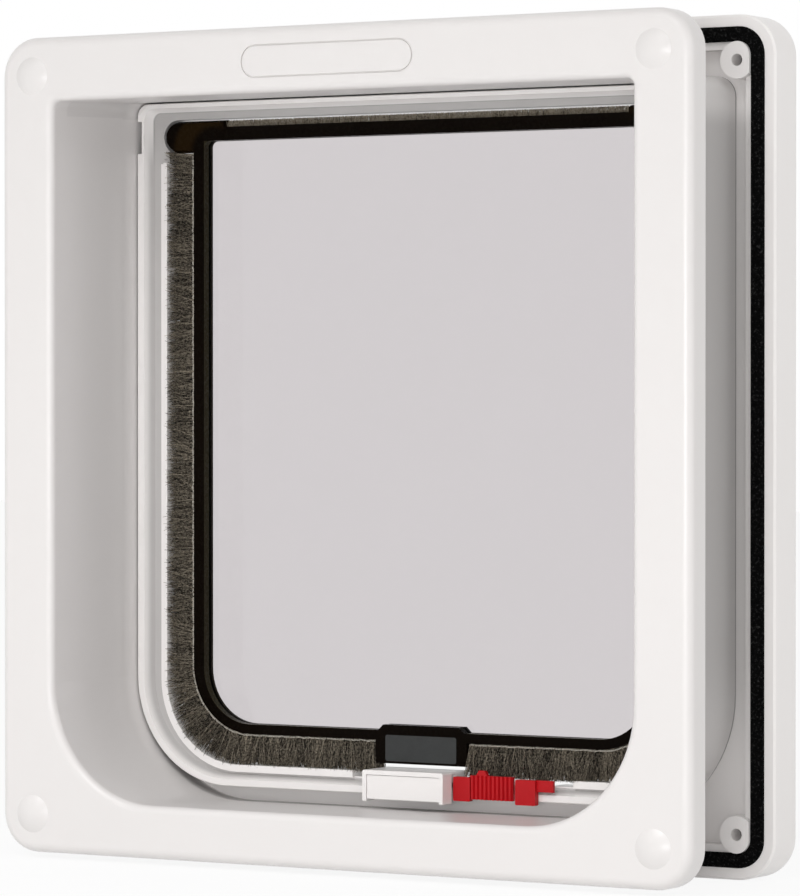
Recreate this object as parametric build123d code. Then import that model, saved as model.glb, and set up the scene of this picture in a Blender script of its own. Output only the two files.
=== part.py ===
"""Cat flap in two halves with a self-lining tunnel, brush-sealed flap, magnet catch and two lock slides.

Millimetres. X runs across the door, Z up, the room side faces -Y.
Origin: centre of the four screw bosses, on the plane of their faces (the outer face of the door).
"""
import math
import os

from build123d import *

# Overall sizes
WIDTH = 240.0
HEIGHT = 250.0
BORDER_RISE = 1.5
CORNER_R = 12.0
WALL = 2.6
BEZEL_DEPTH = 9.0
BEZEL_ROUND = 3.0
OPEN_ROUND = 2.3

# Depths along Y, from the boss faces
BEZEL_FRONT = -51.0
LIP_FRONT = -2.6
RIB_FRONT = -0.3
COVE_FRONT = 1.2
BOSS_FACE = 0.0
RIM_EDGE = 1.5
FIELD_FRONT = 6.7
FIELD_PLATE = 2.8
BORDER_BACK = 17.9
BORDER_ROUND = 4.0

# Clearances
SEAM_GAP = 0.05
TUBE_GAP = 0.15
TUBE_DROP = 4.1
SWING_GAP = 0.35
EAR_GAP = 0.4
SLIDE_GAP = 0.3
KEY_GAP = 0.15
PIN_RUN = 0.05
CATCH_GAP = 1.3

# Fixing screws
SCREW_INSET = 11.9
PILOT_R = 1.8
CLEAR_R = 2.3
BOSS_R = 5.5
CAP_R = 5.75
CAP_RISE = 1.7
PLUG_R = 4.3
PLUG_DEPTH = 2.0
RECESS = 3.5

# Opening in the room-side bezel and its drafted liner
BEZEL_SIDE = 19.0
BEZEL_TOP = 19.7
BEZEL_LOW = 16.2
OPEN_R_TOP = 2.5
OPEN_R_BOTTOM = 36.0
DRAFT = 2.0
LINER_WALL = 1.6
REBATE_START = -11.0
REBATE_DEPTH = 0.4
RIB_THICK = 1.6
RIB_PITCH_Z = 35.0
RIB_PITCH_X = 40.0

# Name panel, left bare
PANEL_LENGTH = 60.0
PANEL_HEIGHT = 10.0
PANEL_LINE = 0.55
PANEL_SHIFT = -1.5
PANEL_RISE = 9.3

# Gasket and border of the outdoor half
GASKET_INSET = 3.5
GASKET_WIDTH = 4.4
GASKET_PROUD = 0.7
BORDER_LIP = 2.2

# Tube of the outdoor half
LIP_SIDE = 2.6
LIP_LOW = 2.2
LIP_TOP = 1.4
LIP_EASE = 0.25
COVE_SLOPE = 1.5
PASS_SIDE = 9.7
PASS_TOP_WALL = 5.05
PASS_RISE = 6.6
PASS_R = 26.0
RAIL_RISE = 4.7
RIB_WIDTH = 2.2
RIB_DROP = 8.3
RIB_LEFT = -24.0

# Flap
FLAP_DEPTH = 0.5
FLAP_THICK = 5.6
FLAP_R = 21.0
EDGE_WIDTH = 4.0
EDGE_TOP = 4.2
EDGE_LOW = 3.0
PANE_SEAT = 0.1
PANE_THICK = 2.0
PANE_BITE = 2.0
EAR_R = 5.0
EAR_OVER = 1.65
EAR_STEP = 11.2
PIN_R = 1.5
PIN_HEAD_R = 3.0
PIN_HEAD = 1.3
PIN_INSET = 0.4
PIN_BITE = 9.0

# Brush pile
PILE_LENGTH = 9.25
PILE_DROP = 9.35
PILE_ROOT = 1.0
PILE_INSET = 1.3
PILE_THICK = 3.0
PILE_TOP = 2.2

# Magnet catch
CATCH_HALF = 16.2
CATCH_DROP = 7.1
CATCH_RISE = 4.7
CATCH_BEVEL = 2.7
MAGNET_HALF = 12.6
MAGNET_HEIGHT = 8.0
MAGNET_SEAT = 0.7
MAGNET_DEPTH = 2.4
HOUSING_HALF = 14.25
HOUSING_FRONT = -10.3
HOUSING_DEPTH = 5.3
HOUSING_REACH = 4.0
HOUSING_DROP = 1.5
HOUSING_WALL = 1.4
PLATE_THICK = 1.2

# Lock slides
SLIDE_THICK = 1.8
SLIDE_LOW = 0.7
SLIDE_HIGH = 6.6
GRIP_HIGH = 7.2
IN_TRAVEL = 3.0
IN_BLOCK = 5.9
GRIP_LENGTH = 14.6
GRIP_RIBS = 10
GRIP_RISE = 0.7
OUT_TRAVEL = 4.5
SLIDE_SPACE = 1.3
OUT_BLOCK = 6.9
ARM_LENGTH = 5.6
ARM_THICK = 1.1
LUG_WIDTH = 3.4
LUG_DEPTH = 2.0
LUG_BITE = 1.7
KEY_LENGTH = 16.0
KEY_HEIGHT = 1.4
KEY_DEPTH = 2.4
TONGUE_WIDTH = 4.0
TONGUE_HEIGHT = 1.6

# Positions that follow from the sizes
HALF_W = WIDTH / 2
HALF_H = HEIGHT / 2
SCREW_X = HALF_W - SCREW_INSET
SCREW_Z = HALF_H - SCREW_INSET
BEZEL_BACK = BEZEL_FRONT + BEZEL_DEPTH
FIELD_BACK = FIELD_FRONT + FIELD_PLATE
OPEN_HALF = HALF_W - BEZEL_SIDE
OPEN_TOP = HALF_H - BEZEL_TOP
OPEN_BOTTOM = BEZEL_LOW - HALF_H
LINER_FRONT = BEZEL_FRONT + OPEN_ROUND
LINER_END = FIELD_FRONT - SEAM_GAP
SLOPE = math.tan(math.radians(DRAFT))
LIP_GROW = (LIP_FRONT - LINER_FRONT) * SLOPE
TUBE_HALF = OPEN_HALF + LIP_GROW - TUBE_GAP
TUBE_TOP = OPEN_TOP + LIP_GROW - TUBE_GAP
TUBE_BOTTOM = OPEN_BOTTOM - LIP_GROW + TUBE_DROP
TUBE_R_TOP = OPEN_R_TOP + LIP_GROW - TUBE_GAP
TUBE_R_LOW = OPEN_R_BOTTOM + LIP_GROW - TUBE_DROP
PASS_HALF = TUBE_HALF - PASS_SIDE
PASS_TOP = TUBE_TOP - PASS_TOP_WALL
PASS_LOW = TUBE_BOTTOM + PASS_RISE
RAIL_TOP = TUBE_BOTTOM + RAIL_RISE
AXIS_Y = FLAP_DEPTH + FLAP_THICK / 2
AXIS_Z = PASS_TOP - EAR_R - EAR_GAP
EAR_END = PASS_HALF + EAR_OVER
PILE_TIP = PASS_HALF - SWING_GAP
PILE_LOW = PASS_LOW + SWING_GAP
FLAP_HALF = PILE_TIP - PILE_LENGTH
FLAP_BOTTOM = PILE_LOW + PILE_DROP
FLAP_TOP = AXIS_Z + EAR_R - PILE_TOP - PIN_RUN
EDGE_BACK = FLAP_DEPTH + FLAP_THICK
PANE_FRONT = FLAP_DEPTH + MAGNET_DEPTH + PANE_SEAT
PANE_BACK = PANE_FRONT + PANE_THICK
PILE_FRONT = FLAP_DEPTH + PILE_INSET
PILE_BACK = PILE_FRONT + PILE_THICK
CATCH_LOW = FLAP_BOTTOM - CATCH_DROP
CATCH_TOP = FLAP_BOTTOM + CATCH_RISE
HOUSING_TOP = CATCH_LOW - CATCH_GAP
HOUSING_LOW = TUBE_BOTTOM - HOUSING_DROP
HOUSING_BACK = HOUSING_FRONT + HOUSING_DEPTH
SLIDE_BACK = LIP_FRONT - SLIDE_GAP
SLIDE_FRONT = SLIDE_BACK - SLIDE_THICK
IN_LEFT = HOUSING_HALF + SLIDE_GAP
GRIP_LEFT = IN_LEFT + IN_BLOCK
GRIP_RIGHT = GRIP_LEFT + GRIP_LENGTH
OUT_LEFT = GRIP_RIGHT + SLIDE_SPACE
ARM_LEFT = OUT_LEFT + OUT_BLOCK
ARM_RIGHT = ARM_LEFT + ARM_LENGTH
RAIL_RIGHT = ARM_RIGHT + OUT_TRAVEL + SLIDE_GAP
STRIKE_LOW = PILE_LOW + PIN_RUN
STRIKE_FRONT = PILE_BACK + SLIDE_GAP
STRIKE_BACK = STRIKE_FRONT + LUG_DEPTH
LUG_TOP = STRIKE_LOW + LUG_BITE
LUG_FRONT = STRIKE_BACK + SLIDE_GAP
LUG_BACK = LUG_FRONT + LUG_DEPTH


def outline(half, top, bottom, r_top, r_bottom):
    """Upright rounded outline with its own radii at the top and the bottom."""
    face = make_face(Polyline((-half, bottom), (half, bottom), (half, top), (-half, top), close=True))
    face = fillet(face.vertices().sort_by(Axis.Y)[:2], r_bottom)
    face = fillet(face.vertices().sort_by(Axis.Y)[-2:], r_top)
    return face


def inset(amount, rise=0.0):
    """Outline of a frame, drawn in by an amount; a rise makes it taller at the top and the bottom."""
    radius = max(CORNER_R - amount, CORNER_R / 6)
    return outline(HALF_W - amount, HALF_H + rise - amount, amount - HALF_H - rise, radius, radius)


def opening(grow):
    """Outline of the room-side opening, let out by an amount."""
    return outline(
        OPEN_HALF + grow,
        OPEN_TOP + grow,
        OPEN_BOTTOM - grow,
        OPEN_R_TOP + grow,
        OPEN_R_BOTTOM + grow,
    )


def slab(sketch, y0, y1, taper=0.0):
    """Sketch drawn in X and Z, made solid from y0 to y1; a taper shrinks it towards y0."""
    plane = Plane(origin=(0, y1, 0), x_dir=(1, 0, 0), z_dir=(0, -1, 0))
    return extrude(plane * sketch, amount=y1 - y0, taper=taper)


def block(x0, x1, y0, y1, z0, z1):
    """Box between two corners, given in either order."""
    return Pos((x0 + x1) / 2, (y0 + y1) / 2, (z0 + z1) / 2) * Box(abs(x1 - x0), abs(y1 - y0), abs(z1 - z0))


def along_y(radius, x, z, y0, y1):
    """Cylinder along Y."""
    return Pos(x, (y0 + y1) / 2, z) * Rot(90, 0, 0) * Cylinder(radius, y1 - y0)


def along_x(radius, x0, x1, y, z):
    """Cylinder along X."""
    return Pos((x0 + x1) / 2, y, z) * Rot(0, 90, 0) * Cylinder(radius, abs(x1 - x0))


def corners():
    """The four fixing points."""
    return [(sx * SCREW_X, sz * SCREW_Z) for sz in (1, -1) for sx in (-1, 1)]


# Room-side half: bezel
bezel = slab(inset(0), BEZEL_FRONT, BEZEL_BACK)
bezel -= slab(opening(0), BEZEL_FRONT - WALL, BEZEL_BACK + WALL)
front = bezel.faces().sort_by(Axis.Y)[0]
bezel = fillet(front.outer_wire().edges(), BEZEL_ROUND)
front = bezel.faces().sort_by(Axis.Y)[0]
bezel = fillet(front.inner_wires()[0].edges(), OPEN_ROUND)
bezel -= slab(inset(WALL) - opening(LINER_WALL), BEZEL_FRONT + WALL, BEZEL_BACK + WALL)

# Stiffening ribs inside the bezel
rib_front = BEZEL_FRONT + WALL / 2
rib_back = BEZEL_BACK - LINER_WALL / 2
half_rib = RIB_THICK / 2
for step in (-2, -1, 0, 1, 2):
    z = step * RIB_PITCH_Z
    for sx in (-1, 1):
        near = sx * (OPEN_HALF + LINER_WALL / 2)
        far = sx * (HALF_W - WALL / 2)
        bezel += block(near, far, rib_front, rib_back, z - half_rib, z + half_rib)
for step in (-1.5, -0.5, 0.5, 1.5):
    x = step * RIB_PITCH_X
    bezel += block(x - half_rib, x + half_rib, rib_front, rib_back, OPEN_TOP + LINER_WALL / 2, HALF_H - WALL / 2)
    bezel += block(x - half_rib, x + half_rib, rib_front, rib_back, WALL / 2 - HALF_H, OPEN_BOTTOM - LINER_WALL / 2)

# Screw tubes and cap seats
for x, z in corners():
    bezel += along_y(CAP_R, x, z, rib_front, BEZEL_BACK)
for x, z in corners():
    bezel -= along_y(CLEAR_R, x, z, BEZEL_FRONT - WALL, BEZEL_BACK + WALL)
    bezel -= along_y(PLUG_R, x, z, BEZEL_FRONT - WALL, BEZEL_FRONT + RECESS)

# Bare name panel: a fine engraved outline
panel = SlotOverall(PANEL_LENGTH, PANEL_HEIGHT)
panel -= SlotOverall(PANEL_LENGTH - 2 * PANEL_LINE, PANEL_HEIGHT - 2 * PANEL_LINE)
panel = Pos(PANEL_SHIFT, OPEN_TOP + PANEL_RISE) * panel
bezel -= slab(panel, BEZEL_FRONT - WALL, BEZEL_FRONT + PANEL_LINE)

# Liner: drafted so that it opens towards the door's outer face
grow = (LINER_END - LINER_FRONT) * SLOPE
liner = slab(opening(grow + LINER_WALL), LINER_FRONT, LINER_END, DRAFT)
liner_core = slab(opening(grow), LINER_FRONT, LINER_END, DRAFT)
rebate = slab(opening(grow + REBATE_DEPTH), REBATE_START, LINER_END, DRAFT)
inner_frame = bezel + liner - liner_core - rebate


def screw_cap(x, z):
    """Domed cap with a plug that presses into the screw recess."""
    ball = (CAP_R**2 + CAP_RISE**2) / (2 * CAP_RISE)
    dome = Pos(x, BEZEL_FRONT - CAP_RISE + ball, z) * Sphere(ball)
    dome &= along_y(CAP_R + 1, x, z, BEZEL_FRONT - 2 * CAP_RISE, BEZEL_FRONT)
    return dome + along_y(PLUG_R, x, z, BEZEL_FRONT, BEZEL_FRONT + PLUG_DEPTH)


# Outdoor half: raised border with the gasket channel
border = slab(inset(0, BORDER_RISE), RIM_EDGE, BORDER_BACK)
back = border.faces().sort_by(Axis.Y)[-1]
border = fillet(back.outer_wire().edges(), BORDER_ROUND)
front = border.faces().sort_by(Axis.Y)[0]
border = chamfer(front.outer_wire().edges(), WALL / 4)
lip_inset = GASKET_INSET + GASKET_WIDTH
field_inset = lip_inset + BORDER_LIP
channel = inset(GASKET_INSET, BORDER_RISE) - inset(lip_inset, BORDER_RISE)
border -= slab(inset(field_inset, BORDER_RISE), RIM_EDGE - WALL, BORDER_BACK + WALL)
border -= slab(inset(lip_inset - BORDER_LIP / 3, BORDER_RISE), RIM_EDGE - WALL, RIM_EDGE + WALL / 3)
outer = border + slab(inset(field_inset - BORDER_LIP / 4, BORDER_RISE), FIELD_FRONT, FIELD_BACK)

# Screw bosses
for x, z in corners():
    outer += along_y(BOSS_R, x, z, BOSS_FACE, FIELD_BACK)
for x, z in corners():
    outer -= along_y(PILOT_R, x, z, BOSS_FACE - WALL, FIELD_BACK - FIELD_PLATE / 2)
outer -= slab(channel, BOSS_FACE - WALL, BORDER_BACK - WALL)

# Tube: outer lip with a sloping cove behind it
tube = slab(outline(TUBE_HALF, TUBE_TOP, TUBE_BOTTOM, TUBE_R_TOP, TUBE_R_LOW), LIP_FRONT, FIELD_BACK)
cove_depth = COVE_FRONT - LIP_FRONT
cove_floor = outline(
    TUBE_HALF - LIP_SIDE - COVE_SLOPE,
    TUBE_TOP - LIP_TOP - COVE_SLOPE,
    TUBE_BOTTOM + LIP_LOW + COVE_SLOPE,
    TUBE_R_TOP - COVE_SLOPE,
    TUBE_R_LOW - LIP_SIDE - COVE_SLOPE,
)
cove_angle = math.degrees(math.atan(COVE_SLOPE / cove_depth))
tube -= slab(cove_floor, LIP_FRONT, COVE_FRONT, -cove_angle)
lip_face = tube.faces().sort_by(Axis.Y)[0]
tube = chamfer(lip_face.outer_wire().edges(), LIP_EASE)

# Raised rib round the sides and lower corners, left out along the rail
slot_r = EAR_R + EAR_GAP
passage = outline(PASS_HALF, PASS_TOP, PASS_LOW, slot_r, PASS_R)
rib = slab(outline(PASS_HALF + RIB_WIDTH, PASS_TOP, PASS_LOW - RIB_WIDTH, EAR_GAP, PASS_R + RIB_WIDTH), RIB_FRONT, FIELD_FRONT)
rib -= block(-HALF_W, HALF_W, LIP_FRONT, FIELD_BACK, AXIS_Z - RIB_DROP, HALF_H)
rib -= block(RIB_LEFT, RAIL_RIGHT, LIP_FRONT, FIELD_BACK, -HALF_H, 0)
outer += tube + rib

# Passage, hinge slots and rail
through_front = LIP_FRONT - WALL
through_back = BORDER_BACK + WALL
outer -= slab(passage, through_front, through_back)
for sx in (-1, 1):
    middle = sx * (EAR_END - EAR_R)
    outer -= along_y(slot_r, middle, AXIS_Z, through_front, through_back)
    outer -= block(middle, middle - sx * slot_r, through_front, through_back, AXIS_Z - slot_r, PASS_TOP)
outer -= block(RIB_LEFT, RAIL_RIGHT, through_front, through_back, RAIL_TOP, PASS_LOW + PASS_R / 2)

# Side walls cored from the outdoor face
core_top = AXIS_Z - slot_r - 2 * WALL
core_low = PASS_LOW + PASS_R + WALL
core = outline(TUBE_HALF - WALL, core_top, core_low, WALL / 2, WALL / 2)
core -= outline(PASS_HALF + WALL, core_top + WALL, core_low - WALL, WALL / 2, WALL / 2)
outer -= slab(core, COVE_FRONT + WALL, through_back)

# Hinge pin holes and the head notches in the lip
head_seat = TUBE_HALF - PIN_HEAD - PIN_INSET
notch_r = PIN_HEAD_R + EAR_GAP / 2
for sx in (-1, 1):
    outer -= along_x(PIN_R, sx * PASS_HALF, sx * (TUBE_HALF + WALL), AXIS_Y, AXIS_Z)
    notch = block(sx * head_seat, sx * (TUBE_HALF + WALL), through_front, AXIS_Y, AXIS_Z - EAR_R, AXIS_Z + EAR_R)
    outer -= notch + along_x(notch_r, sx * head_seat, sx * (TUBE_HALF + WALL), AXIS_Y, AXIS_Z)

# Slots for the lock slides
key_low = TUBE_BOTTOM + KEY_HEIGHT
key_high = key_low + KEY_HEIGHT
key_left = IN_LEFT + IN_TRAVEL
key_right = key_left + KEY_LENGTH
key_back = SLIDE_BACK + KEY_DEPTH
outer -= block(
    key_left - IN_TRAVEL - SLIDE_GAP,
    key_right + SLIDE_GAP,
    through_front,
    key_back + KEY_GAP,
    key_low - KEY_GAP,
    key_high + KEY_GAP,
)
tongue_left = OUT_LEFT + SLIDE_GAP
tongue_right = tongue_left + TONGUE_WIDTH
tongue_high = RAIL_TOP - SLIDE_GAP
tongue_low = tongue_high - TONGUE_HEIGHT
lug_left = tongue_left
channel_left = tongue_left - SLIDE_GAP
channel_low = tongue_low - KEY_GAP
outer -= block(
    channel_left,
    tongue_right + OUT_TRAVEL + SLIDE_GAP,
    through_front,
    LUG_BACK + SLIDE_GAP,
    channel_low,
    PASS_LOW,
)
outer_frame = outer

# Foam gasket standing a little proud of the rim
foam_gasket = slab(channel, RIM_EDGE - GASKET_PROUD, BORDER_BACK - WALL)


def hinge_pin(side):
    """Headed steel pin, pressed through the tube wall into the flap's ear."""
    shank = along_x(PIN_R, side * (EAR_END - PIN_BITE), side * head_seat, AXIS_Y, AXIS_Z)
    return shank + along_x(PIN_HEAD_R, side * head_seat, side * (head_seat + PIN_HEAD), AXIS_Y, AXIS_Z)


# Clear pane
window_half = FLAP_HALF - EDGE_WIDTH
window_top = FLAP_TOP - EDGE_TOP
window_low = FLAP_BOTTOM + EDGE_LOW
window_r = FLAP_R - EDGE_WIDTH
window = outline(window_half, window_top, window_low, PANE_BITE, window_r)
pane_face = outline(
    window_half + PANE_BITE,
    window_top + PANE_BITE,
    window_low - PANE_BITE,
    2 * PANE_BITE,
    window_r + PANE_BITE,
)
flap_pane = slab(pane_face, PANE_FRONT, PANE_BACK)

# Dark flap edge with the magnet pocket
edge = slab(outline(FLAP_HALF, FLAP_TOP, FLAP_BOTTOM, PILE_ROOT, FLAP_R), FLAP_DEPTH, EDGE_BACK)
edge -= slab(window, FLAP_DEPTH - WALL, EDGE_BACK + WALL)
catch_face = make_face(
    Polyline(
        (-CATCH_HALF, CATCH_LOW),
        (CATCH_HALF, CATCH_LOW),
        (CATCH_HALF, CATCH_TOP - CATCH_BEVEL),
        (CATCH_HALF - CATCH_BEVEL, CATCH_TOP),
        (CATCH_BEVEL - CATCH_HALF, CATCH_TOP),
        (-CATCH_HALF, CATCH_TOP - CATCH_BEVEL),
        close=True,
    )
)
edge += slab(catch_face, FLAP_DEPTH, EDGE_BACK)

# Ears with ball ends, so that they clear their slots as they turn
for sx in (-1, 1):
    ear_in = sx * (FLAP_HALF - EAR_STEP)
    ball_at = sx * (EAR_END - EAR_R)
    ear = along_x(EAR_R, ear_in, ball_at, AXIS_Y, AXIS_Z) + Pos(ball_at, AXIS_Y, AXIS_Z) * Sphere(EAR_R)
    ear &= block(-HALF_W, HALF_W, FLAP_DEPTH, EDGE_BACK, 0, HALF_H)
    ear -= block(-window_half, window_half, FLAP_DEPTH, EDGE_BACK, 0, window_top)
    edge += ear

# Strikers for the locks, behind the lower brush
in_lug_left = GRIP_LEFT + SLIDE_GAP
strikers = (
    (in_lug_left - IN_TRAVEL - SLIDE_GAP, GRIP_LEFT - 2 * SLIDE_GAP),
    (lug_left + OUT_TRAVEL, lug_left + OUT_TRAVEL + LUG_WIDTH),
)
for left, right in strikers:
    edge += block(left, right, STRIKE_FRONT, STRIKE_BACK, STRIKE_LOW, FLAP_BOTTOM + EDGE_LOW / 2)

# Brushes seated in grooves in the flap's edge
pile_high = AXIS_Z - EAR_R - PIN_RUN
pile_face = outline(PILE_TIP, pile_high, PILE_LOW, PILE_ROOT / 2, PASS_R - SWING_GAP)
root_face = outline(FLAP_HALF - PILE_ROOT, HALF_H, FLAP_BOTTOM + PILE_ROOT, PILE_ROOT, FLAP_R - PILE_ROOT)
pile = slab(pile_face - root_face, PILE_FRONT, PILE_BACK)
brush_left = pile & block(-HALF_W, -CATCH_HALF - PIN_RUN, PILE_FRONT, PILE_BACK, -HALF_H, HALF_H)
brush_right = pile & block(CATCH_HALF + PIN_RUN, HALF_W, PILE_FRONT, PILE_BACK, -HALF_H, HALF_H)
brush_right -= block(0, RAIL_RIGHT, PILE_FRONT, PILE_BACK, -HALF_H, LUG_TOP + SWING_GAP)
ear_gap = FLAP_HALF - EAR_STEP - PIN_RUN
brush_top = block(
    -ear_gap,
    ear_gap,
    PILE_FRONT,
    PILE_BACK,
    FLAP_TOP - PILE_ROOT / 2,
    FLAP_TOP + PILE_TOP,
)
flap_rim = edge - flap_pane - brush_left - brush_right - brush_top
for sx in (-1, 1):
    bore_in = sx * (EAR_END - PIN_BITE - PIN_INSET)
    flap_rim -= along_x(PIN_R + PIN_RUN, bore_in, sx * (EAR_END + WALL), AXIS_Y, AXIS_Z)

# Flap magnet in its pocket
magnet_low = CATCH_LOW + MAGNET_SEAT
flap_magnet = block(
    -MAGNET_HALF,
    MAGNET_HALF,
    FLAP_DEPTH - PIN_RUN,
    FLAP_DEPTH + MAGNET_DEPTH,
    magnet_low,
    magnet_low + MAGNET_HEIGHT,
)
flap_magnet = fillet(flap_magnet.edges().filter_by(Axis.Y), MAGNET_SEAT)
flap_rim -= flap_magnet

# Magnet housing: a hood in front of the lip, with a foot on the rail and a way for the slide behind it
housing = block(-HOUSING_HALF, HOUSING_HALF, HOUSING_FRONT, HOUSING_BACK, HOUSING_LOW, HOUSING_TOP)
housing += block(-HOUSING_HALF, 0, HOUSING_BACK, LIP_FRONT, TUBE_BOTTOM, HOUSING_TOP)
housing += block(-HOUSING_HALF, HOUSING_HALF, HOUSING_BACK, HOUSING_REACH, RAIL_TOP, HOUSING_TOP)
housing = fillet(housing.edges().filter_by(Axis.Y).group_by(Axis.Z)[-1], HOUSING_WALL / 2)
cave = HOUSING_HALF - HOUSING_WALL
roof = HOUSING_TOP - HOUSING_WALL
housing -= block(-cave, cave, HOUSING_FRONT, HOUSING_BACK - HOUSING_WALL / 2, HOUSING_LOW, roof)
way_left = HOUSING_HALF - IN_TRAVEL - SLIDE_GAP
housing -= block(way_left, HOUSING_HALF, HOUSING_BACK, SLIDE_BACK, HOUSING_LOW, HOUSING_TOP - HOUSING_WALL / 2)
magnet_housing = housing
plate_front = HOUSING_FRONT + SLIDE_GAP
plate_back = plate_front + PLATE_THICK
plate_low = HOUSING_LOW + HOUSING_WALL / 2
core_half = cave - KEY_GAP
magnet_housing_plate = block(-core_half, core_half, plate_front, plate_back, plate_low, roof - KEY_GAP)
frame_magnet = block(
    -core_half,
    core_half,
    plate_back,
    HOUSING_BACK - HOUSING_WALL / 2,
    plate_low + HOUSING_WALL,
    roof,
)

# Inward lock slide: block, ribbed grip, pointed lug and guide key
slide_low = TUBE_BOTTOM - SLIDE_LOW
slide_high = TUBE_BOTTOM + SLIDE_HIGH
grip_high = TUBE_BOTTOM + GRIP_HIGH
in_slide = block(IN_LEFT, GRIP_LEFT, SLIDE_FRONT, SLIDE_BACK, slide_low, slide_high)
in_slide = fillet(in_slide.edges().filter_by(Axis.Y), SLIDE_THICK / 4)
grip_face = SLIDE_FRONT + GRIP_RISE
in_slide += block(GRIP_LEFT - SLIDE_GAP, GRIP_RIGHT, grip_face, SLIDE_BACK, TUBE_BOTTOM, grip_high)
rib_pitch = GRIP_LENGTH / GRIP_RIBS
for i in range(GRIP_RIBS):
    x = GRIP_LEFT + rib_pitch * (i + 0.5)
    ridge = make_face(
        Polyline(
            (x - rib_pitch * 0.45, grip_face),
            (x + rib_pitch * 0.45, grip_face),
            (x + rib_pitch * 0.2, SLIDE_FRONT),
            (x - rib_pitch * 0.2, SLIDE_FRONT),
            close=True,
        )
    )
    in_slide += Pos(0, 0, TUBE_BOTTOM) * extrude(ridge, amount=GRIP_HIGH)
in_lug_right = in_lug_left + 2 * LUG_WIDTH
lug_face = make_face(
    Polyline(
        (in_lug_left, slide_high - LUG_BITE),
        (in_lug_right, slide_high - LUG_BITE),
        (in_lug_right - LUG_WIDTH * 0.7, LUG_TOP),
        (in_lug_left + LUG_WIDTH * 0.7, LUG_TOP),
        close=True,
    )
)
in_slide += slab(lug_face, grip_face, LIP_FRONT)
in_slide += block(key_left, key_right, SLIDE_BACK - SLIDE_GAP, key_back, key_low, key_high)
inward_lock_slide = in_slide

# Outward lock slide: block, arm and a tongue under the flap to the lug behind it
out_slide = block(OUT_LEFT, ARM_LEFT, SLIDE_FRONT - SLIDE_GAP, SLIDE_BACK, slide_low - SLIDE_GAP, slide_high)
out_slide = fillet(out_slide.edges().filter_by(Axis.Y), SLIDE_THICK / 4)
arm_low = slide_high - OUT_BLOCK / 2
out_slide += block(ARM_LEFT - SLIDE_GAP, ARM_RIGHT, SLIDE_BACK - ARM_THICK, SLIDE_BACK, arm_low, slide_high)
out_slide += block(tongue_left, tongue_right, SLIDE_BACK - SLIDE_GAP, LUG_BACK, tongue_low, tongue_high)
out_slide += block(lug_left, lug_left + LUG_WIDTH, LUG_FRONT, LUG_BACK, tongue_low, LUG_TOP)
outward_lock_slide = out_slide

NODES = {
    "outer_frame": outer_frame,
    "foam_gasket": foam_gasket,
    "hinge_pin_left": hinge_pin(-1),
    "hinge_pin_right": hinge_pin(1),
    "magnet_housing": magnet_housing,
    "magnet_housing_plate": magnet_housing_plate,
    "frame_magnet": frame_magnet,
    "inner_frame": inner_frame,
    "screw_cap_top_left": screw_cap(-SCREW_X, SCREW_Z),
    "screw_cap_top_right": screw_cap(SCREW_X, SCREW_Z),
    "screw_cap_bottom_left": screw_cap(-SCREW_X, -SCREW_Z),
    "screw_cap_bottom_right": screw_cap(SCREW_X, -SCREW_Z),
    "flap_rim": flap_rim,
    "flap_pane": flap_pane,
    "flap_magnet": flap_magnet,
    "brush_top": brush_top,
    "brush_left": brush_left,
    "brush_right": brush_right,
    "inward_lock_slide": inward_lock_slide,
    "outward_lock_slide": outward_lock_slide,
}

os.makedirs("parts", exist_ok=True)
for name, shape in NODES.items():
    export_step(shape, f"parts/{name}.step")
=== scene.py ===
"""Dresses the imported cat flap: moulded plastics, clear pane, brush pile, foam gasket, and a white studio."""
import math

import bpy
import numpy as np
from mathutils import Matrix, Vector


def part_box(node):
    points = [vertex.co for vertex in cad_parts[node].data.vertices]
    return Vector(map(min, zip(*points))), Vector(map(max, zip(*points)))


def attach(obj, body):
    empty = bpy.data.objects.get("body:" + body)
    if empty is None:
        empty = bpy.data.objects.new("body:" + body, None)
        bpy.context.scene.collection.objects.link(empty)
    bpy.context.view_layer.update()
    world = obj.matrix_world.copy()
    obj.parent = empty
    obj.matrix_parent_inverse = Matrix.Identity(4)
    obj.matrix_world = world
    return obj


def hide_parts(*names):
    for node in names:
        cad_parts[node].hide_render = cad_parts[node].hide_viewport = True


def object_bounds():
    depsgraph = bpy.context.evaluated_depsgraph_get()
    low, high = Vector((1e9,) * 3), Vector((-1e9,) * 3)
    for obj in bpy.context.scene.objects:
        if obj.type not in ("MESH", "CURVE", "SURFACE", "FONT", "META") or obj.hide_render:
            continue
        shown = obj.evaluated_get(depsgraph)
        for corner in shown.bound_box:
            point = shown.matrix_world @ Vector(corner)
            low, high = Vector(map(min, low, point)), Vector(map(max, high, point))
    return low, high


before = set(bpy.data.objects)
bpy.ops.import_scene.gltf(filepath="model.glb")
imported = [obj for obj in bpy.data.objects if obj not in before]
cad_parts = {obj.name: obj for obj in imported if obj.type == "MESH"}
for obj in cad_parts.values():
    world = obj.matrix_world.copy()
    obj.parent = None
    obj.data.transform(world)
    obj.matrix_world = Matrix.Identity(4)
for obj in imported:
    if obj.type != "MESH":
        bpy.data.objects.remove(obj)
CAD_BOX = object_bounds()

bl_info = {
    "name": "Cat flap dresser",
    "version": (1, 0, 0),
    "blender": (4, 5, 0),
    "location": "View3D > Sidebar > Cat flap",
    "description": "Finishes, brush pile and studio for a packed cat flap",
    "category": "Object",
}

MM = 0.001

# Bristles, in metres unless they are shares
TUFT = 0.00045
ROOT_SINK = 0.0009
FRONT_LEAN = 0.52
BACK_LEAN = 0.25
BACK_ROW_THICKER = 2.8
BRISTLE_CURL = 0.0006
STITCH_PITCH = 0.00062
STITCH_LENGTH = 0.0012

# Foam strip
FOAM_CORNER = 8.5 * MM
FOAM_WIDTH = 4.4 * MM
FOAM_EASE = 0.5 * MM

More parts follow.
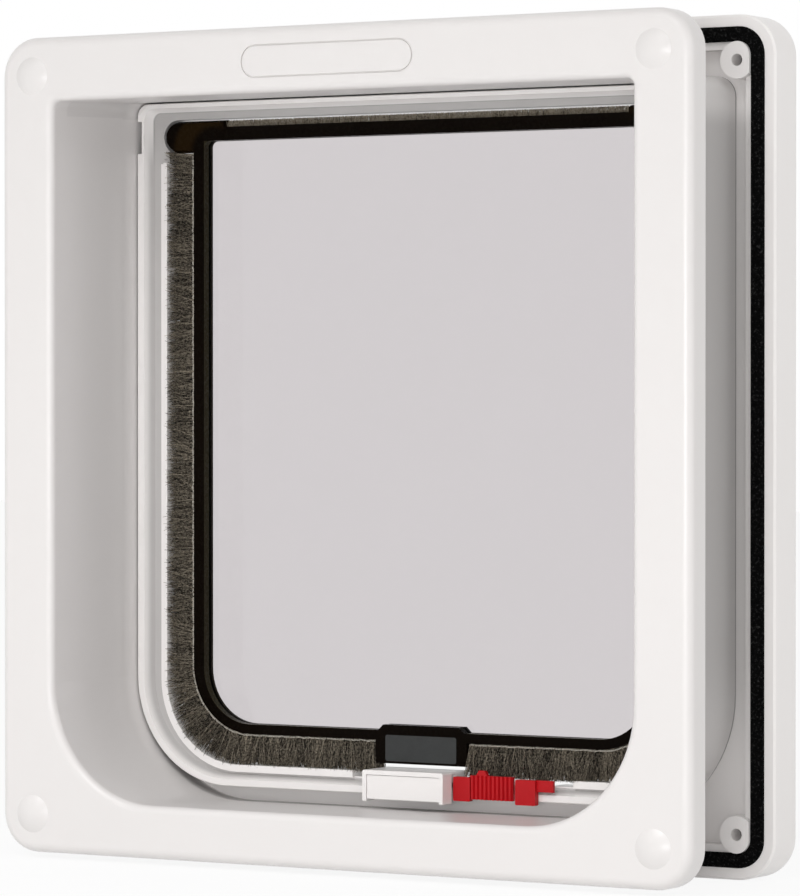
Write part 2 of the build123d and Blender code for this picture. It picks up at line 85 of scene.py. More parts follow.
# Where painted shade darkens the white mouldings, in metres in the shared frame.
# Each pair is where a painted shade starts and where it is full.
LINER_MOUTH = 0.0487
LINER_DRAFT = 0.0349
LINER_CORNER = (0.0650, -0.0728)
LINER_SKIN = (0.0366, 0.0370)
LINER_HEAD = (0.1059, 0.1063)
LINER_HEAD_CORNER = (0.2016, 0.2020)
DISH_SIDES = (0.1124, 0.1118)
DISH_ENDS = (0.1190, 0.1184)
HIDDEN_FRONT = (-0.0428, -0.0418)
HIDDEN_BACK = (0.0085, 0.0075)
HIDDEN_HEAD = (0.1010, 0.0930)
HIDDEN_FOOT = (-0.1120, -0.0560)
COVE_CORNER = (0.06676, -0.0737)
COVE_SKIN = (0.0282, 0.0286)
COVE_TOP = 0.0885
COVE_HEAD = (0.0850, 0.1010)
COVE_FRONT = (-0.0024, 0.0004)
COVE_FRONT_HEAD = (0.0004, 0.0010)
COVE_BACK = (0.0060, 0.0050)
SEAM_FRONT = (0.0058, 0.0062)
SEAM_BACK = (0.00668, 0.00662)
PAINTED_SHADE_DARKEST = 0.30

# Brown band of painted glow across the ears: the middle of its arc, in from the flap's edge
# and above the side runs, and its reach
BAND_IN = 0.0076
BAND_UP = 0.0009
BAND_SQUEEZE = 0.876
BAND_INSIDE = (0.0060, 0.0085)
BAND_OUTSIDE = (0.0140, 0.0122)
BAND_END = (0.0705, 0.0745)

WHITE_NODES = ("outer_frame", "magnet_housing", "magnet_housing_plate")
ROOM_NODES = (
    "inner_frame",
    "screw_cap_top_left",
    "screw_cap_top_right",
    "screw_cap_bottom_left",
    "screw_cap_bottom_right",
)


def colour(name, default, text):
    return bpy.props.FloatVectorProperty(
        name=name, description=text, subtype="COLOR", size=3, min=0.0, max=1.0, default=default
    )


def length(name, default, text):
    return bpy.props.FloatProperty(
        name=name, description=text, subtype="DISTANCE", unit="LENGTH", precision=5, default=default
    )


class CatFlapFinish(bpy.types.PropertyGroup):
    # The outdoor half's white is lighter than the room half's as painted light, brightening the parts deep in the
    # tunnel
    white: colour("White", (0.92, 0.895, 0.883), "Moulded plastic of the outdoor half")
    room: colour("Room white", (0.79, 0.767, 0.757), "Moulded plastic of the room-side half")
    smoked: colour("Smoked", (0.0034, 0.0020, 0.0011), "Flap edge plastic")
    # Painted light: a paler colour for the inner wall of the flap's edge, as though light shone through it
    smoked_painted_light: colour("Smoked, thin", (0.026, 0.022, 0.012), "Flap edge where light comes through")
    # Painted glow across the ears
    smoked_ear_painted_glow: colour("Smoked, ears", (0.014, 0.0075, 0.0022), "Band across the ears")
    pane: colour("Pane", (0.628, 0.596, 0.608), "Tint of the clear pane")
    # Painted shade and painted light of the bristles: each bristle's colour lies between these two
    pile_painted_shade: colour("Pile dark", (0.014, 0.012, 0.010), "Shaded bristles")
    pile_painted_light: colour("Pile light", (0.42, 0.366, 0.285), "Lit bristles")
    thread: colour("Thread", (0.60, 0.57, 0.50), "Binding thread")
    red: colour("Red", (0.50, 0.006, 0.011), "Lock slides")
    magnet: colour("Magnet", (0.026, 0.028, 0.028), "Ferrite magnet")
    foam: colour("Foam", (0.0020, 0.0020, 0.0020), "Gasket foam")
    steel: colour("Steel", (0.58, 0.58, 0.59), "Hinge pins")


class CatFlapPile(bpy.types.PropertyGroup):
    flap_half: length("Flap half width", 0.08316, "Flap centre line to its edge")
    flap_low: length("Flap lower edge", -0.09001, "Height of the flap's lower edge")
    flap_top: length("Flap upper edge", 0.09906, "Height of the flap's upper edge")
    flap_round: length("Flap corner", 0.0210, "Radius of the flap's lower corners")
    rim_side: length("Rim side", 0.0040, "Width of the flap's edge at the sides")
    rim_low: length("Rim foot", 0.0030, "Width of the flap's edge at the foot")
    rim_top: length("Rim head", 0.0042, "Width of the flap's edge at the head")
    run_top: length("Run top", 0.0911, "Where the side runs start, under the ears")
    run_end: length("Run end", 0.01635, "Where the side runs stop, beside the magnet")
    top_half: length("Top run", 0.0716, "Half length of the top run")
    top_tip: length("Top tips", 0.10125, "Height of the top run's tips")
    pass_half: length("Passage half width", 0.0926, "Furthest that bristles may reach sideways")
    pass_low: length("Passage floor", -0.09955, "Lowest tips over the raised rib")
    rail_low: length("Rail floor", -0.1006, "Lowest tips over the bottom rail")
    rail_left: length("Rail left end", -0.0240, "Where the bottom rail starts")
    rail_right: length("Rail right end", 0.0532, "Where the bottom rail stops")
    pass_round: length("Passage corner", 0.0260, "Radius of the passage's lower corners")
    middle: length("Middle plane", 0.0033, "Depth of the pile's middle")
    depth: length("Depth", 0.0029, "Thickness of the pile")
    pitch: length("Pitch", 0.00022, "Spacing of bristles along a run")
    rows: bpy.props.IntProperty(name="Rows", description="Rows of bristles through the depth", default=9, min=2)
    thick: length("Bristle", 0.00012, "Radius of a bristle at its root")


class CatFlapStudio(bpy.types.PropertyGroup):
    eye: bpy.props.FloatVectorProperty(
        name="Eye", description="Camera position", subtype="TRANSLATION", unit="LENGTH",
        default=(0.73614, -1.21202, 0.0144),
    )
    aim: bpy.props.FloatVectorProperty(
        name="Aim", description="Viewing direction", subtype="DIRECTION",
        default=(-0.52272, 0.85244, -0.010646),
    )
    lens: bpy.props.FloatProperty(name="Lens", description="Focal length", subtype="DISTANCE_CAMERA", default=187.47)
    ambient: bpy.props.FloatProperty(name="Ambient", description="Even light from all round", default=0.62)
    # Strengths of the painted shade on the white mouldings
    hidden_painted_shade: bpy.props.FloatProperty(
        name="Hidden tone",
        description="How much darker the liner's outside and the dish are painted",
        default=0.43,
    )
    seam_painted_shadow: bpy.props.FloatProperty(
        name="Seam tone",
        description="How much darker the line where the liner meets the dish is painted",
        default=0.8,
    )
    cove_painted_shade: bpy.props.FloatProperty(
        name="Cove tone",
        description="How much darker the hollow round the flap is painted",
        default=0.56,
    )


# Shader building

class Wire:
    """One shader output; arithmetic on wires adds Math nodes."""

    def __init__(self, sheet, socket):
        self.sheet = sheet
        self.socket = socket

    def _math(self, operation, first, second):
        return self.sheet.node("ShaderNodeMath", {"operation": operation}, {0: first, 1: second})

    def __add__(self, other):
        return self._math("ADD", self, other)

    def __radd__(self, other):
        return self._math("ADD", other, self)

    def __sub__(self, other):
        return self._math("SUBTRACT", self, other)

    def __rsub__(self, other):
        return self._math("SUBTRACT", other, self)

    def __mul__(self, other):
        return self._math("MULTIPLY", self, other)

    def __rmul__(self, other):
        return self._math("MULTIPLY", other, self)

    def maximum(self, other):
        return self._math("MAXIMUM", self, other)

    def below(self, other):
        return self._math("LESS_THAN", self, other)

    def above(self, other):
        return self._math("GREATER_THAN", self, other)

    def size(self):
        return self._math("ABSOLUTE", self, 0.0)

    def root(self):
        return self._math("SQRT", self, 0.0)


class Sheet:
    """A node tree that is written as expressions."""

    def __init__(self, tree):
        self.tree = tree
        tree.nodes.clear()

    def node(self, kind, settings=None, inputs=None, output=0):
        made = self.tree.nodes.new(kind)
        for key, value in (settings or {}).items():
            if key == "stops":
                ramp = made.color_ramp.elements
                while len(ramp) < len(value):
                    ramp.new(0.5)
                for element, (place, shade) in zip(ramp, value):
                    element.position = place
                    element.color = shade
            else:
                setattr(made, key, value)
        for key, value in (inputs or {}).items():
            socket = made.inputs[key]
            if isinstance(value, Wire):
                self.tree.links.new(value.socket, socket)
            else:
                socket.default_value = value
        return Wire(self, made.outputs[output]) if made.outputs else None

    def place(self):
        return self.node("ShaderNodeTexCoord", output="Object")

    def part(self, where, axis):
        return self.node("ShaderNodeSeparateXYZ", None, {"Vector": where}, axis)

    def ramp(self, value, start, stop):
        ends = {"Value": value, "From Min": start, "From Max": stop}
        return self.node("ShaderNodeMapRange", {"clamp": True, "interpolation_type": "SMOOTHSTEP"}, ends)

    def noise(self, where, scale, detail=3.0, rough=0.55):
        sizes = {"Vector": where, "Scale": scale, "Detail": detail, "Roughness": rough}
        return self.node("ShaderNodeTexNoise", None, sizes, "Fac")

    def blend(self, factor, low, high):
        settings = {"data_type": "RGBA"}
        return self.node("ShaderNodeMix", settings, {0: factor, 6: opaque(low), 7: opaque(high)}, 2)

    def bump(self, height, strength, distance):
        sizes = {"Height": height, "Strength": strength, "Distance": distance}
        return self.node("ShaderNodeBump", None, sizes, "Normal")


def opaque(shade):
    return shade if isinstance(shade, Wire) else (*shade, 1.0)


def finish_of(name, recipe):
    """A material whose Principled inputs come from a recipe."""
    made = bpy.data.materials.get(name)
    if made:
        return made
    made = bpy.data.materials.new(name)
    made.use_nodes = True
    sheet = Sheet(made.node_tree)
    shader = sheet.node("ShaderNodeBsdfPrincipled", None, recipe(sheet), "BSDF")
    sheet.node("ShaderNodeOutputMaterial", None, {"Surface": shader})
    return made


def tone(shade, factor):
    return tuple(min(1.0, channel * factor) for channel in shade)


def round_corner(sheet, x, z, centre, skin):
    """0 inside a pair of straight sides that end in rounded lower corners, and 1 outside."""
    aside = (x - centre[0]).maximum(0.0)
    under = (centre[1] - z).maximum(0.0)
    return sheet.ramp((aside * aside + under * under).root(), *skin)


def painted_shade_places(sheet, where):
    """Where the white is painted darker, because the lamps leave it paler there than in the photo."""
    x = sheet.part(where, "X").size()
    y = sheet.part(where, "Y")
    z = sheet.part(where, "Z")
    flare = (y + LINER_MOUTH) * LINER_DRAFT
    past = round_corner(sheet, x - flare, z + flare, LINER_CORNER, LINER_SKIN)
    past = past.maximum(sheet.ramp(z - flare, *LINER_HEAD))
    past = past.maximum(sheet.ramp(x + z - 2.0 * flare, *LINER_HEAD_CORNER))
    dish = past * sheet.ramp(x, *DISH_SIDES) * sheet.ramp(z.size(), *DISH_ENDS)
    # Painted shade on the outside of the liner and on the dish between the halves, weaker towards the top and the
    # bottom
    hidden = dish * sheet.ramp(y, *HIDDEN_FRONT) * sheet.ramp(y, *HIDDEN_BACK)
    hidden = hidden * (0.25 + 0.75 * sheet.ramp(z, *HIDDEN_HEAD))
    hidden = hidden * (0.05 + 0.95 * sheet.ramp(z, *HIDDEN_FOOT))
    # Painted shade in the hollow round the flap
    beyond = round_corner(sheet, x, z, COVE_CORNER, COVE_SKIN).maximum(z.above(COVE_TOP))
    head = sheet.ramp(z, *COVE_HEAD)
    sunk = sheet.ramp(y, *COVE_FRONT) * (1.0 - head) + 1.3 * sheet.ramp(y, *COVE_FRONT_HEAD) * head
    cove = sunk * sheet.ramp(y, *COVE_BACK) * beyond * (1.0 - past)
    # A painted shadow line where the liner meets the dish
    seam_shadow = dish * sheet.ramp(y, *SEAM_FRONT) * sheet.ramp(y, *SEAM_BACK)
    studio = bpy.context.scene.cat_flap_studio
    darker = (hidden * studio.hidden_painted_shade).maximum(cove * studio.cove_painted_shade)
    return darker.maximum(seam_shadow * studio.seam_painted_shadow)


def moulded(sheet, shade):
    """White plastic with faint clouds and grain, and painted shade in chosen places."""
    where = sheet.place()
    cloud = sheet.noise(where, 18.0, 2.0)
    grain = sheet.noise(where, 1400.0, 2.0)
    # Painted shade: the base colour is blended towards a darker white in these places, which are also made rougher
    darker = painted_shade_places(sheet, where)
    fresh = sheet.blend(cloud, tone(shade, 0.985), tone(shade, 1.012))
    return {
        "Base Color": sheet.blend(darker, fresh, tone(shade, PAINTED_SHADE_DARKEST)),
        "Roughness": 0.27 + cloud * 0.05 + grain * 0.06 + darker * 0.3,
        "Normal": sheet.bump(grain, 0.05, 0.0002),
        "IOR": 1.5,
        "Coat Roughness": 0.12,
        "Coat Weight": 0.12,
    }


# The outdoor half's lighter white is painted light
def outdoor_white_painted_light(sheet):
    return moulded(sheet, tuple(bpy.context.scene.cat_flap_finish.white))


def room_plastic(sheet):
    return moulded(sheet, tuple(bpy.context.scene.cat_flap_finish.room))


def smoked_plastic(sheet):
    shade = tuple(bpy.context.scene.cat_flap_finish.smoked)
    where = sheet.place()
    cloud = sheet.noise(where, 30.0, 2.0)
    scuff = sheet.noise(where, 900.0, 4.0)
    x = sheet.part(where, "X").size()
    z = sheet.part(where, "Z")
    pile = bpy.context.scene.cat_flap_pile
    bend = pile.flap_round - pile.rim_side
    aside = (x - (pile.flap_half - pile.flap_round)).maximum(0.0)
    under = (pile.flap_low + pile.rim_low + bend - z).maximum(0.0)
    # Painted light: the inner wall of the flap's edge, away from the middle of its foot, takes the paler colour
    wall = (aside * aside + under * under).root().below(bend + 0.00012) * z.below(pile.flap_top - pile.rim_top)
    clear = (0.0002 + pile.run_end - x).below(0.0).maximum((pile.flap_low + 0.006 - z).below(0.0))
    # Painted glow: a brown band arcing across the ears
    over = (x - pile.flap_half + BAND_IN) * BAND_SQUEEZE
    above = z - pile.run_top - BAND_UP
    arc = (over * over + above * above).root()
    ear_glow = sheet.ramp(arc, *BAND_INSIDE) * sheet.ramp(arc, *BAND_OUTSIDE) * sheet.ramp(x, *BAND_END)
    ear_glow = ear_glow * (pile.run_top - z).below(0.0)
    finish = bpy.context.scene.cat_flap_finish
    dark = sheet.blend(cloud, tone(shade, 0.6), tone(shade, 1.5))
    dark = sheet.blend(ear_glow, dark, tuple(finish.smoked_ear_painted_glow))
    return {
        "Base Color": sheet.blend(wall * clear, dark, tuple(finish.smoked_painted_light)),
        "Roughness": 0.20 + scuff * 0.14,
        "Normal": sheet.bump(scuff, 0.03, 0.0002),
        "IOR": 1.5,
        "Specular IOR Level": 0.025,
    }


def clear_plastic(sheet):
    shade = tuple(bpy.context.scene.cat_flap_finish.pane)
    where = sheet.place()
    haze = sheet.noise(where, 60.0, 3.0)
    return {
        "Base Color": sheet.blend(haze, tone(shade, 0.99), tone(shade, 1.01)),
        "Roughness": 0.01 + haze * 0.02,
        "Transmission Weight": 1.0,
        "IOR": 1.46,
        "Specular IOR Level": 0.12,
    }


def red_plastic(sheet):
    shade = tuple(bpy.context.scene.cat_flap_finish.red)
    where = sheet.place()
    cloud = sheet.noise(where, 120.0, 3.0)
    grain = sheet.noise(where, 1800.0, 2.0)
    return {
        "Base Color": sheet.blend(cloud, tone(shade, 0.86), tone(shade, 1.12)),
        "Roughness": 0.34 + grain * 0.12,
        "Normal": sheet.bump(grain, 0.06, 0.0002),
        "IOR": 1.5,
        "Specular IOR Level": 0.25,
    }


def ferrite(sheet):
    shade = tuple(bpy.context.scene.cat_flap_finish.magnet)
    where = sheet.place()
    speck = sheet.noise(where, 1600.0, 5.0, 0.7)
    smear = sheet.noise(where, 160.0, 3.0)
    return {
        "Base Color": sheet.blend(smear, tone(shade, 0.75), tone(shade, 1.35)),
        "Roughness": 0.45 + speck * 0.25,
        "Normal": sheet.bump(speck, 0.12, 0.0002),
        "Metallic": 0.2,
    }


def steel(sheet):
    shade = tuple(bpy.context.scene.cat_flap_finish.steel)
    where = sheet.place()
    drawn = sheet.noise(where, 900.0, 3.0)
    return {
        "Base Color": sheet.blend(drawn, tone(shade, 0.85), tone(shade, 1.1)),
        "Roughness": 0.22 + drawn * 0.2,
        "Metallic": 1.0,
    }


def foam(sheet):
    shade = tuple(bpy.context.scene.cat_flap_finish.foam)
    where = sheet.place()
    cell = sheet.node("ShaderNodeTexVoronoi", {"feature": "F1"}, {"Vector": where, "Scale": 1300.0}, "Distance")
    # Painted highlights: scattered specks 24 times lighter than the foam
    glint_noise = sheet.noise(where, 1100.0, 4.0, 0.75)
    stops = [(0.55, (0, 0, 0, 1)), (0.72, (1, 1, 1, 1))]
    painted_glints = sheet.node("ShaderNodeValToRGB", {"stops": stops}, {"Fac": glint_noise}, "Color")
    return {
        "Base Color": sheet.blend(painted_glints, shade, tone(shade, 24.0)),
        "Roughness": 0.75 + cell * 0.2,
        "Specular IOR Level": 0.04,
        "Normal": sheet.bump(cell, 0.7, 0.0006),
    }


def brush_pile(sheet):
    finish = bpy.context.scene.cat_flap_finish
    # Painted light and shade: each bristle is blended between the two pile colours by its own value and a blotchy
    # noise
    shade = sheet.node("ShaderNodeAttribute", {"attribute_name": "shade"}, None, "Fac")
    streak = sheet.noise(sheet.place(), 1600.0, 2.0)
    crimp = sheet.ramp(streak, 0.39, 0.63)
    return {
        "Base Color": sheet.blend(
            shade * 0.7 + crimp * 0.7 - 0.20, tuple(finish.pile_painted_shade), tuple(finish.pile_painted_light)
        ),
        "Roughness": 0.78 + streak * 0.15,
        "Specular IOR Level": 0.15,
    }


def binding_thread(sheet):
    shade = tuple(bpy.context.scene.cat_flap_finish.thread)
    fibre = sheet.noise(sheet.place(), 2600.0, 3.0)
    return {
        "Base Color": sheet.blend(fibre, tone(shade, 0.6), tone(shade, 1.25)),
        "Roughness": 0.8 + fibre * 0.15,
        "Normal": sheet.bump(fibre, 0.4, 0.0003),
    }


# Modelling helpers

def clear_selection():
    if bpy.context.object and bpy.context.object.mode != "OBJECT":
        bpy.ops.object.mode_set(mode="OBJECT")
    bpy.ops.object.select_all(action="DESELECT")


def settle(piece, name, finish, body):
    """Names a finished piece, fixes its place in its mesh and lets it ride."""
    clear_selection()
    piece.select_set(True)
    bpy.context.view_layer.objects.active = piece
    bpy.ops.object.transform_apply(location=True, rotation=True, scale=True)
    piece.name = name
    piece.data.name = name
    piece.data.materials.clear()
    piece.data.materials.append(finish)
    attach(piece, body)
    return piece


def repeat(unit, roots, axes, lengths, widths, bends, shades, name):
    """Copies a modelled unit, which stands on Z from 0 to 1, to many places as one mesh."""
    points = np.array([v.co[:] for v in unit.vertices])
    faces = [tuple(p.vertices) for p in unit.polygons]
    count = len(roots)
    helper = np.where(np.abs(axes[:, 1:2]) < 0.9, [[0.0, 1.0, 0.0]], [[1.0, 0.0, 0.0]])
    across = np.cross(axes, helper)
    across /= np.linalg.norm(across, axis=1, keepdims=True)
    other = np.cross(axes, across)
    x, y, z = points[:, 0], points[:, 1], points[:, 2]
    cloud = (
        roots[:, None]
        + axes[:, None] * (lengths[:, None] * z)[..., None]
        + bends[:, None] * (z**2)[None, :, None]
        + across[:, None] * (widths[:, None] * x)[..., None]
        + other[:, None] * (widths[:, None] * y)[..., None]
    )
    stride = len(points)
    quads = [tuple(i + k * stride for i in f) for k in range(count) for f in faces]
    mesh = bpy.data.meshes.new(name)
    mesh.from_pydata(cloud.reshape(-1, 3).tolist(), [], quads)
    layer = mesh.attributes.new("shade", "FLOAT", "POINT")
    layer.data.foreach_set("value", np.repeat(shades, stride).astype(np.float32))
    mesh.polygons.foreach_set("use_smooth", np.ones(len(mesh.polygons), bool))
    mesh.update()
    piece = bpy.data.objects.new(name, mesh)
    bpy.context.collection.objects.link(piece)
    return piece


def bristle_unit():
    """One bristle: a cone cut in two along its length, with a blunt tip."""
    clear_selection()
    bpy.ops.mesh.primitive_cone_add(
        vertices=3, radius1=1.0, radius2=0.45, depth=1.0, end_fill_type="NOTHING", location=(0, 0, 0.5)
    )
    bpy.ops.object.transform_apply(location=True, rotation=True, scale=True)
    cone = bpy.context.object
    bpy.ops.object.mode_set(mode="EDIT")
    bpy.ops.mesh.select_all(action="SELECT")
    bpy.ops.mesh.bisect(plane_co=(0, 0, 0.5), plane_no=(0, 0, 1))
    bpy.ops.object.mode_set(mode="OBJECT")
    return cone


def stitch_unit():
    """One twist of yarn: a ball drawn out along Z."""
    clear_selection()
    bpy.ops.mesh.primitive_uv_sphere_add(segments=8, ring_count=6, radius=1.0, location=(0, 0, 0))
    ball = bpy.context.object
    ball.scale = (1.0, 1.0, 0.5)
    ball.location = (0, 0, 0.5)
    bpy.ops.object.transform_apply(location=True, rotation=True, scale=True)
    return ball


def drop(unit):
    mesh = unit.data
    bpy.data.objects.remove(unit)
    bpy.data.meshes.remove(mesh)


def side_run(pile, side, spacing):
    """Root points and outward directions down one side of the flap, round its corner and along its foot."""
    straight = pile.run_top - (pile.flap_low + pile.flap_round)
    bend = pile.flap_round * math.pi / 2
    foot = pile.flap_half - pile.flap_round - pile.run_end
    along = np.arange(spacing / 2, straight + bend + foot, spacing)
    points = np.zeros((len(along), 3))
    out = np.zeros((len(along), 3))
    for i, s in enumerate(along):
        if s < straight:
            points[i] = (pile.flap_half, 0, pile.run_top - s)
            out[i] = (1, 0, 0)
        elif s < straight + bend:
            turn = (s - straight) / pile.flap_round
            out[i] = (math.cos(turn), 0, -math.sin(turn))
            points[i] = (pile.flap_half - pile.flap_round, 0, pile.flap_low + pile.flap_round)
            points[i] += pile.flap_round * out[i]
        else:
            points[i] = (pile.flap_half - pile.flap_round - (s - straight - bend), 0, pile.flap_low)
            out[i] = (0, 0, -1)
    mirror = np.array([side, 1, 1])
    return along, points * mirror, out * mirror


def reach(pile, side, root, axis):
    """How far a bristle may run before it meets the frame."""
    sx, sz = axis[0] * side, axis[2]
    x, z = root[0] * side, root[2]
    best = 0.013
    if sx > 1e-6:
        best = min(best, (pile.pass_half - x) / sx)
    low = pile.rail_low if pile.rail_left < x * side < pile.rail_right else pile.pass_low
    if sz < -1e-6:
        best = min(best, (low - z) / sz)
    cx, cz = pile.pass_half - pile.pass_round, pile.pass_low + pile.pass_round
    for _ in range(3):
        tx, tz = x + sx * best - cx, z + sz * best - cz
        far = math.hypot(tx, tz)
        if tx > 0 and tz < 0 and far > pile.pass_round:
            best -= far - pile.pass_round
    return max(best, 0.002)


def side_pile(name, side, node, seed):
    """A side run of bristles, replacing its plain solid."""
    pile = bpy.context.scene.cat_flap_pile
    draw = np.random.default_rng(seed)
    along, points, out = side_run(pile, side, pile.pitch)
    roots, axes, lengths, widths, bends, shades = [], [], [], [], [], []
    phase = draw.uniform(0, 6.3, 4)
    tufts = draw.normal(0, 1, int(along[-1] / TUFT) + 2)
    for row in range(pile.rows):
        deep = (row + 0.5) / pile.rows - 0.5
        for s, root, axis in zip(along, points, out):
            mm = s / MM
            sway = 0.10 * math.sin(mm / 2.3 + phase[0]) + 0.06 * math.sin(mm / 0.83 + phase[1] + row)
            sway += 0.05 * math.sin(mm / 9.0 + phase[2]) + draw.normal(0, 0.19)
            fan = 0.55 * math.exp(-mm / 5.0)
            end = (along[-1] - s) / MM
            fan -= 0.35 * math.exp(-end / 3.0)
            turn = (sway + fan) * side
            cos, sin = math.cos(turn), math.sin(turn)
            lean = np.array([axis[0] * cos - axis[2] * sin, 0, axis[0] * sin + axis[2] * cos])
            lean[1] = deep * (FRONT_LEAN if deep < 0 else BACK_LEAN) + draw.normal(0, 0.06)
            lean /= np.linalg.norm(lean)
            base = root - axis * ROOT_SINK
            base[1] = pile.middle + deep * pile.depth * 0.8 + draw.normal(0, 0.00008)
            size = reach(pile, side, base, lean) * (1 - abs(draw.normal(0, 0.02)))
            lean[2] = min(lean[2], (pile.run_top - base[2]) / size)
            if axis[2] < -0.99:
                lean[0] = side * max(side * lean[0], (pile.run_end - side * base[0]) / size)
            roots.append(base)
            axes.append(lean)
            lengths.append(size)
            widths.append(pile.thick * draw.uniform(0.75, 1.2) * (BACK_ROW_THICKER if deep > 0.1 else 1.0))
            curl = draw.normal(0, BRISTLE_CURL, 3) * (0.7, 0.3, min(1.0, 0.1 + mm / 2.0))
            if axis[2] < -0.9 and pile.rail_left < base[0] < pile.rail_right:
                curl[2] = abs(curl[2])
            bends.append(curl)
            # How brightly each bristle is painted: random clumps and tufts along the run
            clump = 0.5 + 0.22 * math.sin(mm / 0.9 + phase[3]) + 0.12 * math.sin(mm / 2.9)
            clump += 0.7 * tufts[int(s / TUFT + 1.3 * deep)]
            shades.append(min(1.0, max(0.0, clump * 0.34 + draw.beta(0.8, 1.6) * 1.0 - 0.13)))
    unit = bristle_unit()
    arrays = [np.array(a) for a in (roots, axes, lengths, widths, bends, shades)]
    piece = repeat(unit.data, *arrays, name)
    drop(unit)
    settle(piece, name, finish_of("Brush pile", brush_pile), "flap")
    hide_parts(node)
    return piece


def top_pile():
    """The short run between the ears."""
    pile = bpy.context.scene.cat_flap_pile
    draw = np.random.default_rng(71)
    along = np.arange(-pile.top_half, pile.top_half, pile.pitch * 1.1)
    tufts = draw.uniform(0, 1, int(2 * pile.top_half / TUFT) + 2)
    roots, axes, lengths, widths, bends, shades = [], [], [], [], [], []
    for row in range(pile.rows):
        deep = (row + 0.5) / pile.rows - 0.5
        for x in along:
            lean = np.array([draw.normal(0, 0.16), deep * 0.2, 1.0])
            lean /= np.linalg.norm(lean)
            base = np.array([x, pile.middle + deep * 0.0021, pile.flap_top - 0.0005])
            roots.append(base)
            axes.append(lean)
            lengths.append((pile.top_tip - base[2]) * (1 - abs(draw.normal(0, 0.05))))
            widths.append(pile.thick * draw.uniform(0.75, 1.15))
            bends.append(draw.normal(0, 0.0001, 3) * (1, 0.3, 0.0))
            # How brightly each bristle of the top run is painted, brighter on the whole than the side runs
            tuft = tufts[int((x + pile.top_half) / TUFT)]
            shades.append(min(1.4, 0.35 + 0.95 * tuft + draw.beta(0.9, 1.2) * 0.5))
    unit = bristle_unit()
    arrays = [np.array(a) for a in (roots, axes, lengths, widths, bends, shades)]
    piece = repeat(unit.data, *arrays, "Top_brush_pile")
    drop(unit)
    settle(piece, "Top_brush_pile", finish_of("Brush pile", brush_pile), "flap")
    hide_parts("brush_top")


def thread_run(name, side):
    """Binding thread along the roots of a side run."""
    pile = bpy.context.scene.cat_flap_pile
    draw = np.random.default_rng(90 + side)
    along, points, out = side_run(pile, side, STITCH_PITCH)
    travel = np.gradient(points, axis=0)
    travel /= np.linalg.norm(travel, axis=1, keepdims=True)
    count = len(along)
    axes = travel * 0.93 + out * 0.42
    axes[:, 1] = draw.normal(0, 0.06, count)
    axes /= np.linalg.norm(axes, axis=1, keepdims=True)
    wander = 0.00006 * np.sin(along / MM * 1.1) + draw.normal(0, 0.00005, count)
    clear = 0.0005 + 0.0006 * np.maximum(0.0, -out[:, 0])
    roots = points + out * (clear + wander)[:, None] - axes * 0.0006
    roots[:, 1] = pile.middle - pile.depth * 0.5 - 0.00005
    lengths = np.full(count, STITCH_LENGTH)
    widths = draw.uniform(0.00014, 0.00022, count)
    unit = stitch_unit()
    shades = draw.uniform(0, 1, count)
    piece = repeat(unit.data, roots, axes, lengths, widths, np.zeros((count, 3)), shades, name)
    drop(unit)
    settle(piece, name, finish_of("Binding thread", binding_thread), "flap")


def foam_ring():
    """Foam strip: a rounded plate inset to a ring, drawn out to its depth and eased along its edges."""
    low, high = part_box("foam_gasket")
    clear_selection()
    bpy.ops.mesh.primitive_plane_add(size=1.0, rotation=(math.pi / 2, 0, 0), location=(0, low.y, 0))
    ring = bpy.context.object
    ring.scale = (high.x - low.x, high.z - low.z, 1)
    bpy.ops.object.transform_apply(location=True, rotation=True, scale=True)
    bpy.ops.object.mode_set(mode="EDIT")
    bpy.ops.mesh.select_all(action="SELECT")
    bpy.ops.mesh.bevel(offset=FOAM_CORNER, segments=10, affect="VERTICES")
    bpy.ops.mesh.select_all(action="SELECT")
    bpy.ops.mesh.inset(thickness=FOAM_WIDTH)
    bpy.ops.mesh.delete(type="FACE")
    bpy.ops.mesh.select_all(action="SELECT")
    bpy.ops.mesh.extrude_region_move(TRANSFORM_OT_translate={"value": (0, (high.y - low.y), 0)})
    bpy.ops.mesh.select_all(action="SELECT")
    bpy.ops.mesh.normals_make_consistent(inside=False)
    bpy.ops.object.mode_set(mode="OBJECT")
    ease = ring.modifiers.new("Ease", "BEVEL")
    ease.width = FOAM_EASE
    ease.segments = 3
    ease.limit_method = "ANGLE"
    ease.angle_limit = math.radians(50)
    bpy.ops.object.modifier_apply(modifier="Ease")
    bpy.ops.object.shade_smooth_by_angle(angle=math.radians(40))
    settle(ring, "Foam_strip", finish_of("Gasket foam", foam), "outer_frame")
    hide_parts("foam_gasket")


def dress(node, finish):
    """Gives a carried-over solid its finish."""
    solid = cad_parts[node]
    for slot in solid.material_slots:
        slot.material = finish


class CATFLAP_OT_mouldings(bpy.types.Operator):
    """Finish the rigid pieces"""

    bl_idname = "cat_flap.mouldings"
    bl_label = "Mouldings"

    def execute(self, context):
        for node in WHITE_NODES:
            dress(node, finish_of("White plastic", outdoor_white_painted_light))
        for node in ROOM_NODES:
            dress(node, finish_of("Room plastic", room_plastic))
        dress("flap_rim", finish_of("Smoked plastic", smoked_plastic))
        dress("flap_pane", finish_of("Clear plastic", clear_plastic))
        for node in ("flap_magnet", "frame_magnet"):
            dress(node, finish_of("Ferrite", ferrite))
        for node in ("hinge_pin_left", "hinge_pin_right"):
            dress(node, finish_of("Pin steel", steel))
        for node in ("inward_lock_slide", "outward_lock_slide"):
            dress(node, finish_of("Red plastic", red_plastic))
        return {"FINISHED"}


class CATFLAP_OT_gasket(bpy.types.Operator):
    """Lay the foam strip in its channel"""

    bl_idname = "cat_flap.gasket"
    bl_label = "Gasket"

    def execute(self, context):
        foam_ring()
        return {"FINISHED"}


